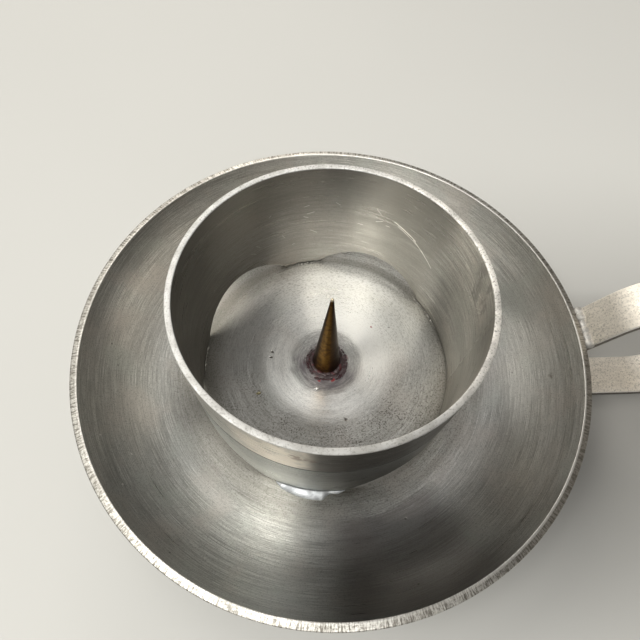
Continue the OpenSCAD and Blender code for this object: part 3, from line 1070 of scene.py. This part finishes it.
def wax_material(name, low, high):
    """A glossy drop of old wax."""
    cloud = ((900,), (0.4, 0.6, 1), high, 0)
    return layered(name, low, [cloud], (0, 0.4, 0.6, 0.15, 0.3), 0.5)


def studio_material(name, scale, dark, pale, rough):
    """A matt grey with the faintest mottling."""
    g = Graph(name)
    g.colour = dark
    g.stain(pale, g.noise(scale))
    return g.metal(rough, 0.0)


# ---- studio


def direction(azimuth, elevation):
    """A unit vector towards an azimuth and an elevation in degrees."""
    turn, lift = math.radians(azimuth), math.radians(elevation)
    return Vector((math.cos(turn) * math.cos(lift), math.sin(turn) * math.cos(lift), math.sin(lift)))


def make_floor():
    """A round table top."""
    radius, sides = 1100, 96
    turns = [math.tau * i / sides for i in range(sides)]
    corners = [(radius * math.cos(turn), radius * math.sin(turn), 0) for turn in turns]
    floor = make_object("floor", corners, [tuple(range(sides))])
    pale = studio_material("floor_pale", 9, (0.42, 0.42, 0.415), (0.44, 0.44, 0.435), 0.75)
    dress(floor, pale)


def softbox(name, azimuth, elevation, width, height, radiance, colour):
    """A soft rectangular light that faces the object from a direction; sizes are in metres."""
    away = direction(azimuth, elevation)
    distance = 1.3
    target = Vector((0, 0, 0.02))
    data = bpy.data.lights.new(name, "AREA")
    data.shape = "RECTANGLE"
    data.size, data.size_y = width, height
    data.energy = math.pi * width * height * radiance
    data.color = colour
    light = bpy.data.objects.new(name, data)
    light.location = target + away * distance
    light.rotation_mode = "QUATERNION"
    light.rotation_quaternion = (-away).to_track_quat("-Z", "Y")
    light.visible_camera = False
    bpy.context.scene.collection.objects.link(light)


def make_world():
    """Dim, even fill light; camera rays see a pale backdrop instead of it."""
    world = bpy.data.worlds.new("studio")
    world.use_nodes = True
    tree = world.node_tree
    fill = tree.nodes["Background"]
    fill.inputs["Color"].default_value = (1, 0.95, 0.86, 1)
    fill.inputs["Strength"].default_value = 0.31
    backdrop = tree.nodes.new("ShaderNodeBackground")
    backdrop.inputs["Color"].default_value = (0.62, 0.615, 0.6, 1)
    seen = tree.nodes.new("ShaderNodeLightPath")
    mix = tree.nodes.new("ShaderNodeMixShader")
    outputs = (seen.outputs["Is Camera Ray"], fill.outputs[0], backdrop.outputs[0])
    for output, socket in zip(outputs, mix.inputs):
        tree.links.new(output, socket)
    tree.links.new(mix.outputs[0], tree.nodes["World Output"].inputs[0])
    bpy.context.scene.world = world


def make_lights():
    """A wide key over the front, dimmer ones to both sides, and a low window at the back."""
    softbox("key_front", 256, 59, 0.75, 0.45, 14.2, (1, 0.985, 0.92))
    softbox("key_left", 203, 57, 0.75, 0.45, 6.4, (1, 0.98, 0.9))
    softbox("right_high", 302, 67, 0.42, 0.42, 4.2, (1, 0.97, 0.9))
    softbox("overhead_back", 88, 78, 0.75, 0.5, 0.75, (0.97, 0.99, 1))
    softbox("ceiling_back", 130, 46, 0.6, 0.5, 3.7, (1, 0.96, 0.86))
    softbox("window_back", 100, 25, 0.55, 0.42, 5.2, (1, 0.94, 0.84))


def make_flag():
    """Dark card round the lens, unseen itself, that keeps the light behind it out of the metal."""
    lens = bpy.context.scene.camera.matrix_world
    left, right, below, above, behind = -18, 135, -66, 12, 4
    corners = [(left, below), (right, below), (right, above), (left, above)]
    points = [lens @ (Vector((x, y, behind)) * MM) / MM for x, y in corners]
    flag = make_object("flag", points, [(0, 1, 2, 3)])
    cloth = studio_material("flag_cloth", 900, (0.025, 0.025, 0.025), (0.05, 0.05, 0.05), 0.9)
    dress(flag, cloth)
    flag.visible_camera = False


def make_camera():
    """Close above the front edge, looking down into the cup, as the object is seen in use."""
    behind, above, roll = 59.9, 93.9, math.radians(3.4)
    place = Vector((CUP_X, 0, CUP_TOP + above)) + direction(-97.8, 0) * behind
    ahead = direction(84.8, -61.7)
    right = ahead.cross(Vector((0, 0, 1))).normalized()
    turn = Matrix((right, right.cross(ahead), -ahead)).transposed() @ Matrix.Rotation(roll, 3, "Z")
    data = bpy.data.cameras.new("camera")
    data.lens = 27
    data.clip_start = 0.005
    camera = bpy.data.objects.new("camera", data)
    camera.matrix_world = Matrix.Translation(place * MM) @ turn.to_4x4()
    bpy.context.scene.collection.objects.link(camera)
    bpy.context.scene.camera = camera


# ---- build


def build():
    bpy.context.scene.view_settings.view_transform = "Standard"
    make_camera()
    satin = solder_material("solder_satin", (0.66, 0.685, 0.725), (0.34, 0.355, 0.38), 0.6)
    grey = solder_material("solder_grey", (0.54, 0.53, 0.515), (0.36, 0.355, 0.345), 0.6)
    dull = solder_material("solder_dull", (0.42, 0.41, 0.385), (0.25, 0.245, 0.225), 0.42)
    dress(make_dish(), dish_material(), rim_material())
    dress(make_cup(), cup_material(), cup_edge_material())
    tail = frame["nodes"]["spike_tail_solder"]
    tail.data.materials.clear()
    front, *inner = make_foot_solder()
    dress(front, satin)
    for piece in (*inner, make_seam(), tail):
        dress(piece, dull)
    dress(make_spike_collar(), collar_material())
    dress(make_wax_film(), wax_film_material())
    blister, dot = make_wax_drops()
    dress(blister, wax_material("wax_clear", (0.6, 0.59, 0.59), (0.85, 0.84, 0.83)))
    dress(dot, wax_material("wax_yellow", (0.62, 0.56, 0.33), (0.8, 0.76, 0.55)))
    spike = make_spike()
    brass = brass_material()
    for piece in (spike, *spike.children):
        dress(piece, brass)
    dress(make_handle(), handle_material(), *handle_side_materials())
    for piece in make_handle_solder():
        dress(piece, grey)
    make_floor()
    make_world()
    make_lights()
    make_flag()


build()
